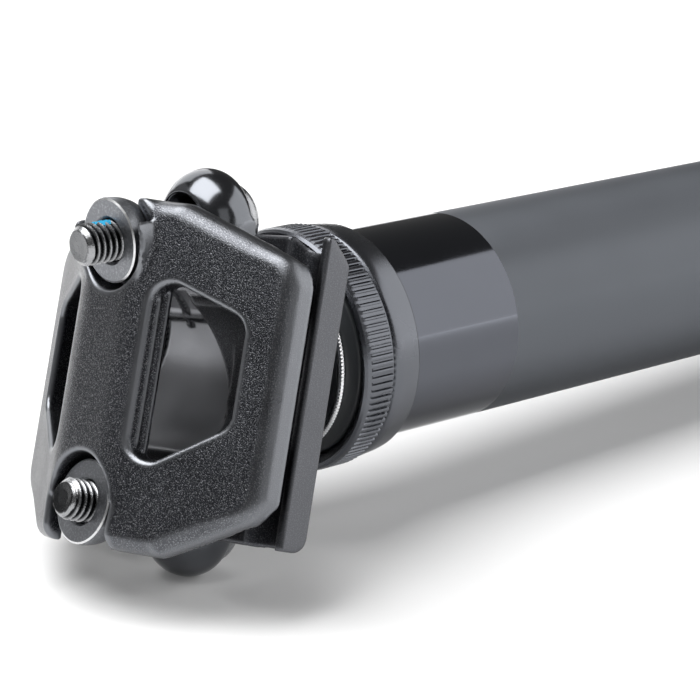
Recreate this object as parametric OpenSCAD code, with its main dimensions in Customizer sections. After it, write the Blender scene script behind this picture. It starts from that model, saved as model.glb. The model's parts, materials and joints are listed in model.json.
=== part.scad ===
// Dropper seatpost, lying as on a bench and fully dropped.
// The pieces are drawn in the post's own axes, with z up the post from the seat tube's clamp,
// x towards the front bolt and y to the left, and lay_down() turns each of them onto its side:
// the post then runs along Y, its saddle clamp faces -Y, and the front bolt is uppermost.

/* [Post] */
// Outer tube's diameter, the size that fits the frame
tube_d = 31.6; // [31.2:0.1:34.9]
// Stanchion's diameter
stanchion_d = 25; // [24:0.1:25.2]
// Stanchion's wall
stanchion_wall = 1.5; // [1.2:0.1:1.9]
// Height that the saddle rises through
travel = 150; // [100:5:180]
// Stanchion left inside the outer tube at full height
guide_overlap = 80; // [70:1:110]
// Outer tube's length below the dropped stanchion
tube_tail = 32; // [30:1:45]
// Wall of the two guide bushings
bushing_wall = 1.3; // [1.1:0.05:1.5]
// Length of the two guide bushings
bushing_len = 18; // [12:1:22]

/* [Seal collar] */
// Diameter over the knurl
collar_d = 36.3; // [35.6:0.1:39]
// Height from the seat tube's edge
collar_len = 11.1; // [10.5:0.1:13]
// Height of the knurled band
knurl_len = 5.6; // [4:0.1:6.5]
// Number of knurl ridges
knurl_count = 108; // [80:1:120]
// Depth of the knurl
knurl_depth = 0.35; // [0.2:0.05:0.5]
// Diameter at the lower edge
collar_foot_d = 34.1; // [34:0.1:35.4]
// Diameter of the wire ring round the wiper's lip
wiper_wire_d = 1.2; // [0.9:0.1:1.4]

/* [Saddle clamp] */
// Distance between the centres of the saddle rails
rail_spacing = 44; // [43:0.5:46]
// Saddle rail's diameter
rail_d = 7; // [6.5:0.1:7.2]
// Height of the rails above the seat tube's edge, on the post's axis
rail_height = 30.5; // [29.5:0.5:32]
// Lean of the clamp from square to the post, in degrees
clamp_lean = 19; // [17:0.5:20]
// Width across both plates
clamp_w = 54; // [52:0.5:57]
// Gap between the plates along their sides
plate_gap = 1.5; // [1:0.1:2]
// Top plate's length along the spine
plate_len = 49; // [48:0.2:50]
// Height of the spine over the rails
spine_h = 15; // [14.8:0.1:15.4]
// Width of the spine between the windows
spine_w = 15.3; // [14:0.1:16.5]
// Slope of the wings, in degrees
wing_slope = 26.4; // [25:0.2:27.4]
// Height of the top plate's sides
plate_edge = 3.4; // [3:0.1:3.8]
// Cradle's length along the rails
cradle_len = 43; // [42:0.5:44]
// Depth of the cradle's sides
cradle_side = 4.4; // [4.2:0.1:5]
// Radius of the round seat that the cradle rocks on
seat_r = 18.7; // [18.4:0.1:19]
// Thickness of the cradle over that seat
cradle_shell = 5.4; // [4.5:0.1:6]
// Thickness of the top plate
plate_t = 3; // [2.6:0.1:3.6]
// Width of the post head's seat between the cradle's flanks
seat_w = 19.4; // [17:0.2:20]

/* [Clamp bolts] */
// Bolt's thread diameter
bolt_d = 6; // [5:0.1:6]
// Bolt's length under the head
bolt_len = 26.6; // [26.2:0.1:27]
// Bolt head's diameter
bolt_head_d = 10.5; // [10:0.1:10.8]
// Bolt head's height
bolt_head_h = 2.8; // [2.6:0.1:3.2]
// Distance of the front bolt from the post's axis
front_bolt_x = 20.7; // [20.5:0.1:21.5]
// Height of the front nut's face
front_nut_z = 40.4; // [40:0.1:41]
// Distance of the rear nut's face from the post's axis
rear_bolt_x = 14.4; // [14:0.1:15]
// Height of the rear nut's face
rear_nut_z = 49.6; // [49:0.1:50.5]
// Lean of the rear bolt from the post's axis, in degrees
rear_bolt_lean = 21; // [20:0.5:22]
// Radius of the round nuts
nut_r = 6; // [5.6:0.1:6.2]
// Bolt left standing out of the front nut
front_bolt_out = 5.2; // [4.5:0.1:6]
// Bolt left standing out of the rear nut
rear_bolt_out = 3.5; // [2.5:0.1:4.5]

/* [Head] */
// Radius of the two bolt ears
ear_r = 7.8; // [7.6:0.1:8]
// Thickness of the two bolt ears
ear_h = 7.5; // [7.2:0.1:7.8]
// Radius of the head's neck
neck_r = 14; // [13.6:0.1:14.3]
// Height of the stanchion's end inside the head
socket_z = 19; // [18:0.2:20]

/* [Cartridge] */
// Cartridge tube's diameter
cartridge_d = 20; // [18:0.5:20.8]
// Cartridge tube's bore
cartridge_bore = 17; // [15:0.5:18]
// Piston rod's diameter
rod_d = 9; // [8:0.5:10]
// Valve pin's diameter
pin_d = 2.8; // [2:0.1:3]

/* [Remote lever] */
// Width of the lever
lever_w = 10; // [8:0.5:10.5]
// Distance from the lever's pivot to the valve pin
lever_push = 4.2; // [3.8:0.1:4.5]
// Distance from the lever's pivot to the cable
lever_pull = 6.5; // [6.2:0.1:6.6]
// Cable housing's diameter
housing_d = 5; // [4:0.1:5.2]

/* [Hidden] */
$fn = 64;

// Clearances: of a running fit, of a seal or a key, of a cut that runs past a face, and of a thread
// that has to let its bolt lean
fit = 0.04;
loose = 0.15;
cut = 1;
swing = 0.2;

tube_r = tube_d / 2;
stanchion_r = stanchion_d / 2;
tube_bore_r = stanchion_r + bushing_wall;
foot_z = -(travel + guide_overlap);
tube_end = foot_z - tube_tail;
bore_z = foot_z + 1;
bump_room = 10;
bump_stop_h = 3.4;
plug_top = foot_z - bump_room;

// Seal collar: it screws onto the tube's thinned end and holds the wiper in a pocket
thread_len = 5;
thread_wall = (tube_r - tube_bore_r) / 2;
thread_r = tube_bore_r + thread_wall;
collar_r = collar_d / 2;
collar_foot_r = collar_foot_d / 2;
collar_step = collar_len - knurl_len;
groove_w = 0.5;
groove_depth = 0.45;
collar_chamfer = 0.6;
mouth_chamfer = 1;
pocket_r = 16.1;
wiper_floor_z = thread_len + 1;
wiper_r = pocket_r - 0.4;
lip_top = collar_len + 1.9;
lip_r = stanchion_r + 1.1;
lip_ring_z = collar_len + 1.3;
lip_ring_r = lip_r + wiper_wire_d / 2 - 0.1;

// Saddle clamp, in the clamp's own axes: x along the rails to the front, z off the rails
rail_r = rail_d / 2;
rail_y = rail_spacing / 2;
side_y = clamp_w / 2;
plate_z = plate_gap / 2;
spine_y = spine_w / 2;
front_x = plate_len / 2 - 1.8;
back_x = -plate_len / 2 - 1.8;
cradle_front = cradle_len / 2 - 0.8;
cradle_back = -cradle_len / 2 - 0.8;
window_y = rail_y - 0.6;
cradle_floor_r = seat_r - cradle_shell;
cradle_z = -plate_z - cradle_side;

// The axis that the clamp tilts about, and the clearance of the seat's width
tilt_x = 4;
tilt_z = rail_height + 10.2;
tilt_max = 7;
head_gap = 2.7;
socket_wall_h = 3;
seat_top_drop = 8;
flare_w = 7;
flare_h = 9;
seat_side = seat_w / 2;
flank_y = seat_side + 0.6;
lip_y = 11;

bolt_r = bolt_d / 2 - 0.05;
nut_bore_r = bolt_r + swing;
nut_face = 0.8;
nut_depth = 4.2;
recess_gap = 0.8;
recess_h = 2;
ear_hole_r = bolt_d / 2 + 0.6;
ear_mouth_r = ear_r - 2.9;
mouth_depth = 3;
ear_neck_y = ear_r - 0.9;
ear_shelf = 2.6;
ear_belly = 2.6;
ear_crown = (ear_h - ear_belly) / sin(61);
ear_heel = 4.2;
socket_d = 4;

// Ball washers: a dome in a cup under each ear, turning about a centre below the bolt's head
washer_r = bolt_head_d / 2 + 0.6;
head_room = 12;
washer_rim = 0.6;
washer_gap = 0.4;
dome_r = 9;
dome_drop = sqrt(dome_r * dome_r - washer_r * washer_r) - washer_rim;
front_head_z = front_bolt_out - bolt_len;
rear_head_z = rear_bolt_out - bolt_len;
front_ear_z = front_head_z + washer_rim + washer_gap + ear_h;
rear_ear_z = rear_head_z + washer_rim + washer_gap + ear_h;

cartridge_r = cartridge_d / 2;
bore_r = cartridge_bore / 2;
rod_r = rod_d / 2;
pin_r = pin_d / 2;
cartridge_top = 6;
piston_z = -46;
piston_h = 10;
float_z = -14;
float_h = 10;
seal_wire = 1.6;
guide_h = 10;
ring_h = 6;
gland_z = foot_z + ring_h + 4;
liner_r = stanchion_r - stanchion_wall;
rod_tail = 8;
rod_shoulder_z = plug_top - rod_tail;
rod_stub_r = rod_r - 0.5;
rod_end = tube_end - 6;
valve_room = 5;
rod_nut_r = 6.4;
plug_r = tube_bore_r - fit;
base_groove_z = tube_end + 8;
flange_h = 3;
flange_z = tube_end - flange_h;

pivot_x = -lever_push;
pivot_z = tube_end - 15;
pivot_r = 1.5;
pivot_eye_r = 4;
cable_x = pivot_x - lever_pull;
cable_r = 1;
lever_top = pivot_z + pivot_eye_r;
cheek_y = lever_w / 2 + 0.5;
cheek_t = 2.4;
cheek_front = 5;
stop_z = pivot_z - 14;
bracket_end = stop_z - 5;
socket_wall = 4;
bracket_back = cable_x - socket_wall;
barrel_r = 2.4;
barrel_half = lever_w / 2 + 0.2;
barrel_eye_r = barrel_r + 1.1;
barrel_screw_r = 1.5;
key_r = 1.3;
key_len = 12;
key_ring_r = stanchion_r + 0.6;
key_z = foot_z + bushing_len + 6;

// A solid turned about the post's axis from pairs of radius and height
module turned(points) {
    rotate_extrude() polygon(points);
}

module tube(r_out, r_in, z0, z1) {
    translate([0, 0, z0]) difference() {
        cylinder(r = r_out, h = z1 - z0);
        translate([0, 0, -cut]) cylinder(r = r_in, h = z1 - z0 + 2 * cut);
    }
}

// A round bar across the post, centred on y = 0
module cross_bar(r, length) {
    rotate([90, 0, 0]) cylinder(r = r, h = length, center = true);
}

module box(x0, x1, half_y, z0, z1) {
    translate([x0, -half_y, z0]) cube([x1 - x0, 2 * half_y, z1 - z0]);
}

module both_sides() {
    children();
    mirror([0, 1, 0]) children();
}

// Places what is drawn in the post's own axes onto its side
module lay_down() {
    rotate([90, -90, 0]) children();
}

// Places what is drawn in the clamp's axes onto the post
module on_clamp() {
    translate([0, 0, rail_height]) rotate([0, clamp_lean, 0]) children();
}

// Axes of each bolt, with z up the bolt from the face of its nut
module on_front_bolt() {
    translate([front_bolt_x, 0, front_nut_z]) children();
}

module on_rear_bolt() {
    translate([-rear_bolt_x, 0, rear_nut_z]) rotate([0, rear_bolt_lean, 0]) children();
}

// Quarter-round corner of radius r about a centre, as points from angle a0 to a1
function arc(cx, cy, r, a0, a1, steps = 6) =
    [for (i = [0 : steps]) let (a = a0 + (a1 - a0) * i / steps) [cx + r * cos(a), cy + r * sin(a)]];

// Outer post

module key_slots(r, z0, z1) {
    for (i = [0 : 2]) rotate([0, 0, 60 + 120 * i])
        translate([key_ring_r, 0, z0]) cylinder(r = r, h = z1 - z0);
}

module outer_tube() {
    color("#46484c") lay_down() difference() {
        union() {
            tube(tube_r, tube_bore_r, tube_end, 0);
            tube(thread_r, tube_bore_r, 0, thread_len);
        }
        key_slots(key_r + loose, bore_z, thread_len + cut);
    }
}

module seal_collar() {
    pitch = 360 / knurl_count;
    root = collar_r - knurl_depth;
    ridge = [[root, 0], [root, 0.35], [collar_r, 0.5], [collar_r, 0.85]];
    teeth = [for (i = [0 : knurl_count - 1], p = ridge)
        [p[0] * cos((i + p[1]) * pitch), p[0] * sin((i + p[1]) * pitch)]];
    color("#54575c") lay_down() difference() {
        union() {
            turned([[0, 0], [collar_foot_r, 0], [collar_foot_r + 0.25, 0.4],
                    [root - 0.1, collar_step - groove_w], [root - groove_depth, collar_step - groove_w / 2],
                    [root - groove_depth, collar_step + groove_w / 2],
                    [root, collar_step + groove_w], [root, collar_len - collar_chamfer],
                    [root - collar_chamfer, collar_len], [0, collar_len]]);
            translate([0, 0, collar_step + groove_w / 2])
                linear_extrude(knurl_len - collar_chamfer - groove_w / 2) polygon(teeth);
        }
        translate([0, 0, -cut]) cylinder(r = thread_r, h = thread_len + cut + fit);
        translate([0, 0, wiper_floor_z]) cylinder(r = pocket_r, h = collar_len);
        translate([0, 0, -cut]) cylinder(r = stanchion_r + 0.5, h = collar_len + 2 * cut);
        translate([0, 0, collar_len - mouth_chamfer])
            cylinder(r1 = pocket_r, r2 = pocket_r + mouth_chamfer + 0.2, h = mouth_chamfer + fit);
    }
}

module dust_wiper() {
    lip = 0.6;
    relief = 0.4;
    heel = 2.6;
    color("#2b2c2e") lay_down() turned([
        [stanchion_r + fit, lip_top], [stanchion_r + fit, lip_top - lip],
        [stanchion_r + relief, lip_top - 3 * lip], [stanchion_r + relief, wiper_floor_z + 2 * lip],
        [stanchion_r + fit, wiper_floor_z + lip], [stanchion_r + fit, wiper_floor_z],
        [pocket_r - fit / 4, wiper_floor_z], [pocket_r - fit / 4, wiper_floor_z + heel],
        [wiper_r, wiper_floor_z + heel + relief], [wiper_r, collar_len - 1.1],
        [wiper_r - lip, collar_len - 0.5], [lip_r, lip_ring_z - wiper_wire_d / 2], [lip_r - 0.1, lip_ring_z],
        [lip_r, lip_ring_z + wiper_wire_d / 2], [lip_r - 0.3, lip_top]]);
}

module wiper_ring() {
    color("silver") lay_down() rotate_extrude()
        translate([lip_ring_r + fit, lip_ring_z]) circle(d = wiper_wire_d, $fn = 32);
}

module upper_bushing() {
    color("#c9a24a") lay_down() difference() {
        tube(tube_bore_r, stanchion_r + fit, -1 - bushing_len, -1);
        key_slots(key_r + 2 * loose, -2 - bushing_len, 0);
    }
}

module tube_o_ring() {
    color("#1c1c1c") lay_down() rotate_extrude()
        translate([stanchion_r + 0.7, thread_len / 2]) circle(r = 0.6, $fn = 24);
}

// The plug that closes the tube's foot, the two cheeks that carry the lever, and the housing's socket
module actuator_base() {
    foot_r = tube_r - 0.4;
    foot_h = stop_z - bracket_end;
    color("#2f3135") lay_down() difference() {
        union() {
            translate([0, 0, tube_end]) cylinder(r = plug_r, h = plug_top - tube_end);
            translate([0, 0, flange_z]) cylinder(r = foot_r, h = flange_h);
            intersection() {
                union() {
                    both_sides() translate([bracket_back, cheek_y, bracket_end])
                        cube([pivot_x + cheek_front - bracket_back, cheek_t, flange_z + cut - bracket_end]);
                    box(bracket_back, cable_x + socket_wall, cheek_y + cut, bracket_end, stop_z + 2);
                }
                translate([0, 0, bracket_end]) cylinder(r = foot_r, h = flange_z + flange_h - bracket_end);
            }
        }
        translate([0, 0, flange_z - cut]) cylinder(r = rod_stub_r + fit / 2, h = tube_tail);
        translate([0, 0, rod_shoulder_z]) cylinder(r = rod_r + fit, h = rod_tail + cut);
        translate([0, 0, flange_z - cut]) cylinder(r = rod_nut_r + 0.6, h = flange_h + cut);
        translate([pivot_x, 0, pivot_z]) cross_bar(pivot_r, 2 * (cheek_y + cheek_t + cut));
        translate([cable_x, 0, bracket_end - cut]) cylinder(d = housing_d, h = foot_h + cut);
        translate([cable_x, 0, bracket_end]) cylinder(r = cable_r, h = 2 * foot_h);
        translate([0, 0, base_groove_z]) difference() {
            cylinder(r = plug_r + cut, h = 2 * seal_wire);
            cylinder(r = plug_r - seal_wire, h = 2 * seal_wire);
        }
    }
}

module base_o_ring() {
    color("#1c1c1c") lay_down() rotate_extrude()
        translate([plug_r - seal_wire / 2, base_groove_z + seal_wire]) circle(d = seal_wire - 0.1, $fn = 24);
}

module pivot_pin() {
    color("silver") lay_down() translate([pivot_x, 0, pivot_z]) cross_bar(pivot_r, 2 * (cheek_y + cheek_t));
}

module cartridge_rod() {
    color("#b9bcc0") lay_down() difference() {
        union() {
            translate([0, 0, rod_shoulder_z]) cylinder(r = rod_r, h = piston_z - rod_shoulder_z);
            translate([0, 0, rod_end]) cylinder(r = rod_stub_r, h = rod_shoulder_z - rod_end);
            translate([0, 0, piston_z]) cylinder(r = rod_stub_r, h = piston_h + 1);
        }
        translate([0, 0, rod_end - cut]) cylinder(r = pin_r + fit, h = piston_z - rod_end);
    }
}

module rod_nut() {
    color("#8a8d91") lay_down() difference() {
        translate([0, 0, flange_z - 0.5]) cylinder(r = rod_nut_r, h = flange_h + 0.5, $fn = 6);
        translate([0, 0, flange_z - 1.5]) cylinder(r = rod_stub_r + fit / 4, h = 2 * flange_h + cut);
    }
}

module bump_stop() {
    color("#232323") lay_down() tube(tube_bore_r - 2, rod_r + 2 * loose, plug_top, plug_top + bump_stop_h);
}

// The band of a piston's seal, halfway up a piston that stands at z
module seal_band(r_out, z, h) {
    tube(r_out, bore_r - seal_wire, z + (h - seal_wire) / 2, z + (h + seal_wire) / 2);
}

module main_piston() {
    color("#b08d3c") lay_down() difference() {
        translate([0, 0, piston_z]) cylinder(r = bore_r - fit, h = piston_h);
        translate([0, 0, piston_z - cut]) cylinder(r = rod_stub_r + fit / 4, h = piston_h + 2 * cut);
        seal_band(bore_r + cut, piston_z, piston_h);
    }
}

module piston_seal() {
    color("#1c1c1c") lay_down() seal_band(bore_r - fit, piston_z, piston_h);
}

// Inner post

module stanchion() {
    color("#1d1e20") lay_down() difference() {
        tube(stanchion_r, stanchion_r - stanchion_wall, foot_z, socket_z);
        key_slots(key_r, key_z, key_z + key_len);
    }
}

// One bolt ear, drawn about its bolt's axis from the top face down
module ear() {
    belly_z = ear_belly - ear_h;
    turned(concat([[0, 0], [ear_mouth_r, 0]], arc(ear_r - ear_crown, belly_z, ear_crown, 60, 0, 8),
                  arc(ear_r - ear_heel, belly_z, ear_heel, -10, -asin(ear_belly / ear_heel), 3),
                  [[0, -ear_h]]));
}

// What is cut from an ear: the bolt's hole and its mouth, the washer's cup, and room for the head
module ear_bore() {
    under = washer_rim + washer_gap;
    translate([0, 0, -ear_h - cut]) cylinder(r = ear_hole_r, h = bolt_len);
    translate([0, 0, -mouth_depth]) cylinder(r1 = ear_hole_r, r2 = ear_mouth_r, h = mouth_depth + fit);
    translate([0, 0, -ear_h - under - dome_drop]) sphere(r = dome_r + fit);
    translate([0, 0, -ear_h - head_room]) cylinder(r = washer_r + cut, h = head_room);
}

// The web between an ear and the neck, over x0 to x1 from the bolt
module ear_neck(x0, x1, top) {
    box(x0, x1, ear_neck_y, top - ear_h, top - ear_shelf);
}

// What the cradle's side flanks sweep as the clamp tilts fully forward
module flank_sweep() {
    both_sides() translate([tilt_x, seat_side, tilt_z]) rotate([0, clamp_lean + tilt_max, 0])
        translate([-clamp_w / 2, 0, cradle_z - rock_z - 2 * loose]) cube([clamp_w, clamp_w, clamp_w]);
}

module post_head() {
    foot = collar_len + head_gap;
    seat_top = tilt_z - seat_top_drop;
    flare = socket_z - 3;
    color("#0f1012") lay_down() difference() {
        union() {
            turned([[0, foot], [neck_r - 0.6, foot], [neck_r, foot + 0.6], [neck_r, flare + 1],
                    [neck_r + 2, socket_z + socket_wall_h], [0, socket_z + socket_wall_h]]);
            intersection() {
                turned([[0, flare], [neck_r, flare], [neck_r + flare_w, flare + flare_h],
                        [neck_r + flare_w, seat_top], [0, seat_top]]);
                box(tilt_x - seat_r - 1, tilt_x + seat_r - 3, seat_side, flare, seat_top);
            }
            on_front_bolt() translate([0, 0, front_ear_z]) ear();
            on_rear_bolt() translate([0, 0, rear_ear_z]) ear();
            on_front_bolt() ear_neck(neck_r - 4 - front_bolt_x, 0, front_ear_z);
            on_rear_bolt() ear_neck(0, 9, rear_ear_z);
        }
        translate([tilt_x, 0, tilt_z]) cross_bar(seat_r + fit, clamp_w);
        flank_sweep();
        translate([0, 0, collar_len]) cylinder(r = stanchion_r + fit / 4, h = socket_z - collar_len);
        translate([0, 0, socket_z - cut]) cylinder(r = stanchion_r - 3, h = 2 * cut);
        on_front_bolt() translate([0, 0, front_ear_z]) ear_bore();
        on_rear_bolt() translate([0, 0, rear_ear_z]) ear_bore();
    }
}

module guide_keys() {
    color("#c9a24a") lay_down() key_slots(key_r, key_z, key_z + key_len);
}

module lower_bushing() {
    foot = foot_z + 2;
    color("#c9a24a") lay_down() tube(tube_bore_r - fit, stanchion_r + fit / 4, foot, foot + bushing_len);
}

module cartridge_tube() {
    color("#9a9da1") lay_down() tube(cartridge_r, bore_r, foot_z + ring_h, cartridge_top);
}

module cartridge_cap() {
    spigot = 4;
    flange = 5;
    color("#2f3135") lay_down() turned([
        [0, cartridge_top - spigot], [bore_r, cartridge_top - spigot], [bore_r, cartridge_top],
        [liner_r, cartridge_top], [liner_r, cartridge_top + flange], [3, cartridge_top + flange],
        [2, cartridge_top + 3], [0, cartridge_top + 3]]);
}

// The band of the rod's seal in its gland, from an inner radius
module gland(r_in) {
    tube(rod_r + seal_wire, r_in, gland_z, gland_z + seal_wire);
}

module rod_guide() {
    foot = foot_z + ring_h;
    color("#8a8d91") lay_down() difference() {
        tube(bore_r, rod_r + fit, foot, foot + guide_h);
        gland(rod_r - fit);
    }
}

module rod_seal() {
    color("#1c1c1c") lay_down() gland(rod_r + fit);
}

module cartridge_ring() {
    color("#2f3135") lay_down() tube(liner_r, rod_r + 0.5, foot_z + 0.5, foot_z + ring_h);
}

module floating_piston() {
    color("#b08d3c") lay_down() difference() {
        translate([0, 0, float_z]) cylinder(r = bore_r - fit, h = float_h);
        seal_band(bore_r + cut, float_z, float_h);
        translate([0, 0, float_z - cut]) cylinder(r = rod_stub_r, h = 4);
    }
}

module floating_piston_seal() {
    color("#1c1c1c") lay_down() seal_band(bore_r - fit, float_z, float_h);
}

// Saddle clamp

module rails(length) {
    both_sides() translate([0, rail_y, 0]) rotate([0, 90, 0]) cylinder(r = rail_r, h = length, center = true);
}

// Centre of the tilt, seen in the clamp's axes
function in_clamp_x(x, z) = x * cos(clamp_lean) - (z - rail_height) * sin(clamp_lean);
function in_clamp_z(x, z) = x * sin(clamp_lean) + (z - rail_height) * cos(clamp_lean);
rock_x = in_clamp_x(tilt_x, tilt_z);
rock_z = in_clamp_z(tilt_x, tilt_z);

module flank() {
    translate([0, flank_y, 0]) rotate([-90, 0, 0]) linear_extrude(side_y - flank_y)
        polygon(concat([[cradle_back, plate_z], [cradle_front, plate_z], [cradle_front, plate_z + 1],
                        [cradle_front - 2.6, -cradle_z - 0.6], [cradle_front - 3.4, -cradle_z]],
                       arc(cradle_back + side_round, -cradle_z - side_round, side_round, 90, 180, 5)));
}

module lower_cradle() {
    drum_z = rock_z - seat_r;
    lip_h = 3.2;
    lip_len = 28;
    color("#3c3e42") lay_down() on_clamp() difference() {
        union() {
            both_sides() flank();
            intersection() {
                translate([rock_x, 0, rock_z]) difference() {
                    cross_bar(seat_r, 2 * flank_y + 4);
                    cross_bar(cradle_floor_r, clamp_w);
                }
                box(rock_x - seat_r * sin(45), rock_x + seat_r * sin(44), flank_y + 2, drum_z - cut, 4);
            }
            both_sides() intersection() {
                translate([rock_x, 0, rock_z]) difference() {
                    cross_bar(seat_r, clamp_w);
                    cross_bar(cradle_floor_r - 3, clamp_w + 2);
                }
                translate([rock_x - lip_len / 2, lip_y, drum_z])
                    cube([lip_len, wall_y - 0.5 - lip_y, lip_h - drum_z]);
            }
        }
        rails(cradle_len + 2 * cut);
    }
}

// The top plate's section across the rails: a low crown over the spine, then the sloping wings
crown_r = 9.5;
crown_y = spine_y - crown_r * sin(wing_slope);
wing_z = spine_h - crown_r * (1 - cos(wing_slope));
side_round = 2.2;
wall_y = rail_y - rail_r - 1.6;
block_front = front_x - 4.8;
block_back = back_x + 9.6;

// Centres of the windows' corners along the rails, by the spine and by the rail
window_round = 3;
window_front = front_x - 14.3;
window_back = back_x + 16.3;
window_side_front = front_x - 17.1;
window_side_back = back_x + 21.1;

// Height of the wing at y, at a depth under its top face
function wing_at(y, depth) = wing_z - depth / cos(wing_slope) - (y - spine_y) * tan(wing_slope);

module plate_section() {
    spine_under_z = spine_h - plate_t - 1;
    under = [[side_y, wing_at(side_y, plate_t)], [spine_y, wing_at(spine_y, plate_t)],
             [spine_y - 2, spine_under_z]];
    edge_z = plate_z + plate_edge - side_round / 2;
    over = concat(arc(crown_y, spine_h - crown_r, crown_r, 90, 90 - wing_slope, 3),
                  arc(side_y - side_round, edge_z, side_round, 90 - wing_slope, 0, 5));
    half = concat(over, under);
    polygon(concat(half, [for (i = [len(half) - 1 : -1 : 0]) [-half[i][0], half[i][1]]]));
}

// The side of the plate that a rail is clamped in
module rail_block() {
    translate([block_back, 0, 0]) rotate([90, 0, 90]) linear_extrude(block_front - block_back)
        polygon([[wall_y, plate_z], [side_y, plate_z], [side_y, wing_at(side_y, plate_t / 2)],
                 [wall_y, wing_at(wall_y, plate_t / 2)]]);
}

// The plate seen from above: its corners, from the front end round to the back one
module plate_outline() {
    half = concat(arc(front_x - 3, 12, 3, 0, 18, 2), arc(front_x - 7.7, side_y - 5, 5, 28, 90, 5),
                  arc(back_x + 12.1, side_y - 3, 3, 90, 142, 3), arc(back_x + 3, 16, 3, 142, 180, 3));
    polygon(concat(half, [for (i = [len(half) - 1 : -1 : 0]) [half[i][0], -half[i][1]]]));
}

module window() {
    inner = spine_y + 0.5 + window_round;
    outer = window_y - window_round;
    polygon(concat(arc(window_front, inner, window_round, 270, 370, 6),
                   arc(window_side_front, outer, window_round, 15, 90, 5),
                   arc(window_side_back, outer, window_round, 90, 155, 5),
                   arc(window_back, inner, window_round, 160, 270, 6)));
}

// The pocket of a round nut: a ball seat, a recess open to the plate's end, and the bolt's slot
module nut_pocket(end) {
    far = 14;
    half = nut_r + recess_gap;
    slot = ear_hole_r + 0.8;
    sphere(r = nut_r + fit);
    translate([0, 0, -recess_h]) cylinder(r = half, h = far);
    translate([end > 0 ? 0 : -far, -half, -recess_h]) cube([far, 2 * half, far]);
    translate([end > 0 ? -slot : -far, -ear_hole_r, -far]) cube([far + slot, 2 * ear_hole_r, far]);
}

// Metal under a nut's pocket, from the x and z of the nut's centre in the post's axes
module boss(x, z) {
    translate([in_clamp_x(x, z), 0, in_clamp_z(x, z) - nut_depth - 0.4])
        cylinder(r = nut_r + 1.8, h = nut_depth - recess_h + 0.4);
}

module upper_clamp() {
    color("#2b2d30") lay_down() difference() {
        on_clamp() difference() {
            intersection() {
                union() {
                    rotate([90, 0, 90]) linear_extrude(2 * plate_len, center = true) plate_section();
                    both_sides() rail_block();
                    boss(front_bolt_x, front_nut_z - nut_face);
                    boss(-rear_bolt_x, rear_nut_z - nut_face);
                }
                linear_extrude(spine_h + cut) plate_outline();
            }
            both_sides() linear_extrude(spine_h + cut) window();
            rails(2 * plate_len);
        }
        on_front_bolt() translate([0, 0, -nut_face]) nut_pocket(1);
        on_rear_bolt() translate([0, 0, -nut_face]) nut_pocket(-1);
    }
}

// A round nut: a slice of a ball, so that it stays square to its bolt as the clamp tilts
module nut() {
    height = nut_face + nut_depth;
    difference() {
        translate([0, 0, -nut_face]) intersection() {
            sphere(r = nut_r);
            translate([0, 0, -nut_depth]) cylinder(r = nut_r + cut, h = height);
        }
        translate([0, 0, -height - cut]) cylinder(r = nut_bore_r, h = height + 2 * cut);
    }
}

module front_nut() {
    color("#3a3c40") lay_down() on_front_bolt() nut();
}

module rear_nut() {
    color("#3a3c40") lay_down() on_rear_bolt() nut();
}

module washer() {
    difference() {
        intersection() {
            cylinder(r = washer_r, h = dome_r);
            translate([0, 0, -dome_drop]) sphere(r = dome_r);
        }
        translate([0, 0, -cut]) cylinder(r = bolt_r + fit, h = dome_r);
    }
}

// A button-headed bolt, with z up from the underside of its head
module bolt() {
    head_r = bolt_head_d / 2;
    rim = 0.7;
    point = 0.8;
    socket_depth = 2.4;
    difference() {
        union() {
            cylinder(r = bolt_r, h = bolt_len - point);
            translate([0, 0, bolt_len - point]) cylinder(r1 = bolt_r, r2 = bolt_r - 0.7, h = point);
            turned([[0, 0], [head_r, 0], [head_r, -rim], [head_r - 0.5, -rim - 0.8],
                    [head_r - 1.3, 0.5 - bolt_head_h], [head_r - 2.3, -bolt_head_h], [0, -bolt_head_h]]);
        }
        translate([0, 0, -bolt_head_h - cut])
            cylinder(d = socket_d / cos(30), h = socket_depth + cut, $fn = 6);
    }
}

module front_washer() {
    color("#6c6f73") lay_down() on_front_bolt() translate([0, 0, front_head_z]) washer();
}

module rear_washer() {
    color("#6c6f73") lay_down() on_rear_bolt() translate([0, 0, rear_head_z]) washer();
}

module front_bolt() {
    color("#55585c") lay_down() on_front_bolt() translate([0, 0, front_head_z]) bolt();
}

module rear_bolt() {
    color("#55585c") lay_down() on_rear_bolt() translate([0, 0, rear_head_z]) bolt();
}

// Remote lever under the post

module lever() {
    half = lever_w / 2;
    slot = 3.2;
    color("#4a4d52") lay_down() difference() {
        union() {
            translate([pivot_x, 0, pivot_z]) cross_bar(pivot_eye_r, lever_w);
            box(pivot_x, pin_r + 2, half, pivot_z - 1, lever_top);
            box(cable_x, pivot_x, half, pivot_z - 3, pivot_z + 3);
            translate([cable_x, 0, pivot_z]) cross_bar(barrel_eye_r, lever_w);
        }
        translate([pivot_x, 0, pivot_z]) cross_bar(pivot_r + fit, lever_w + 2 * cut);
        translate([cable_x, 0, pivot_z]) cross_bar(barrel_r + fit, lever_w + 2 * cut);
        box(cable_x - 2 * barrel_eye_r, cable_x + cable_r + 0.4, slot / 2, pivot_z - 10, pivot_z + 10);
    }
}

module cable_barrel() {
    color("silver") lay_down() translate([cable_x, 0, pivot_z]) difference() {
        cross_bar(barrel_r, 2 * barrel_half);
        translate([0, 0, -2 * barrel_r]) cylinder(r = cable_r - 0.2, h = 4 * barrel_r);
        translate([0, -barrel_half - cut, 0]) rotate([-90, 0, 0])
            cylinder(r = barrel_screw_r, h = barrel_half);
    }
}

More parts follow.
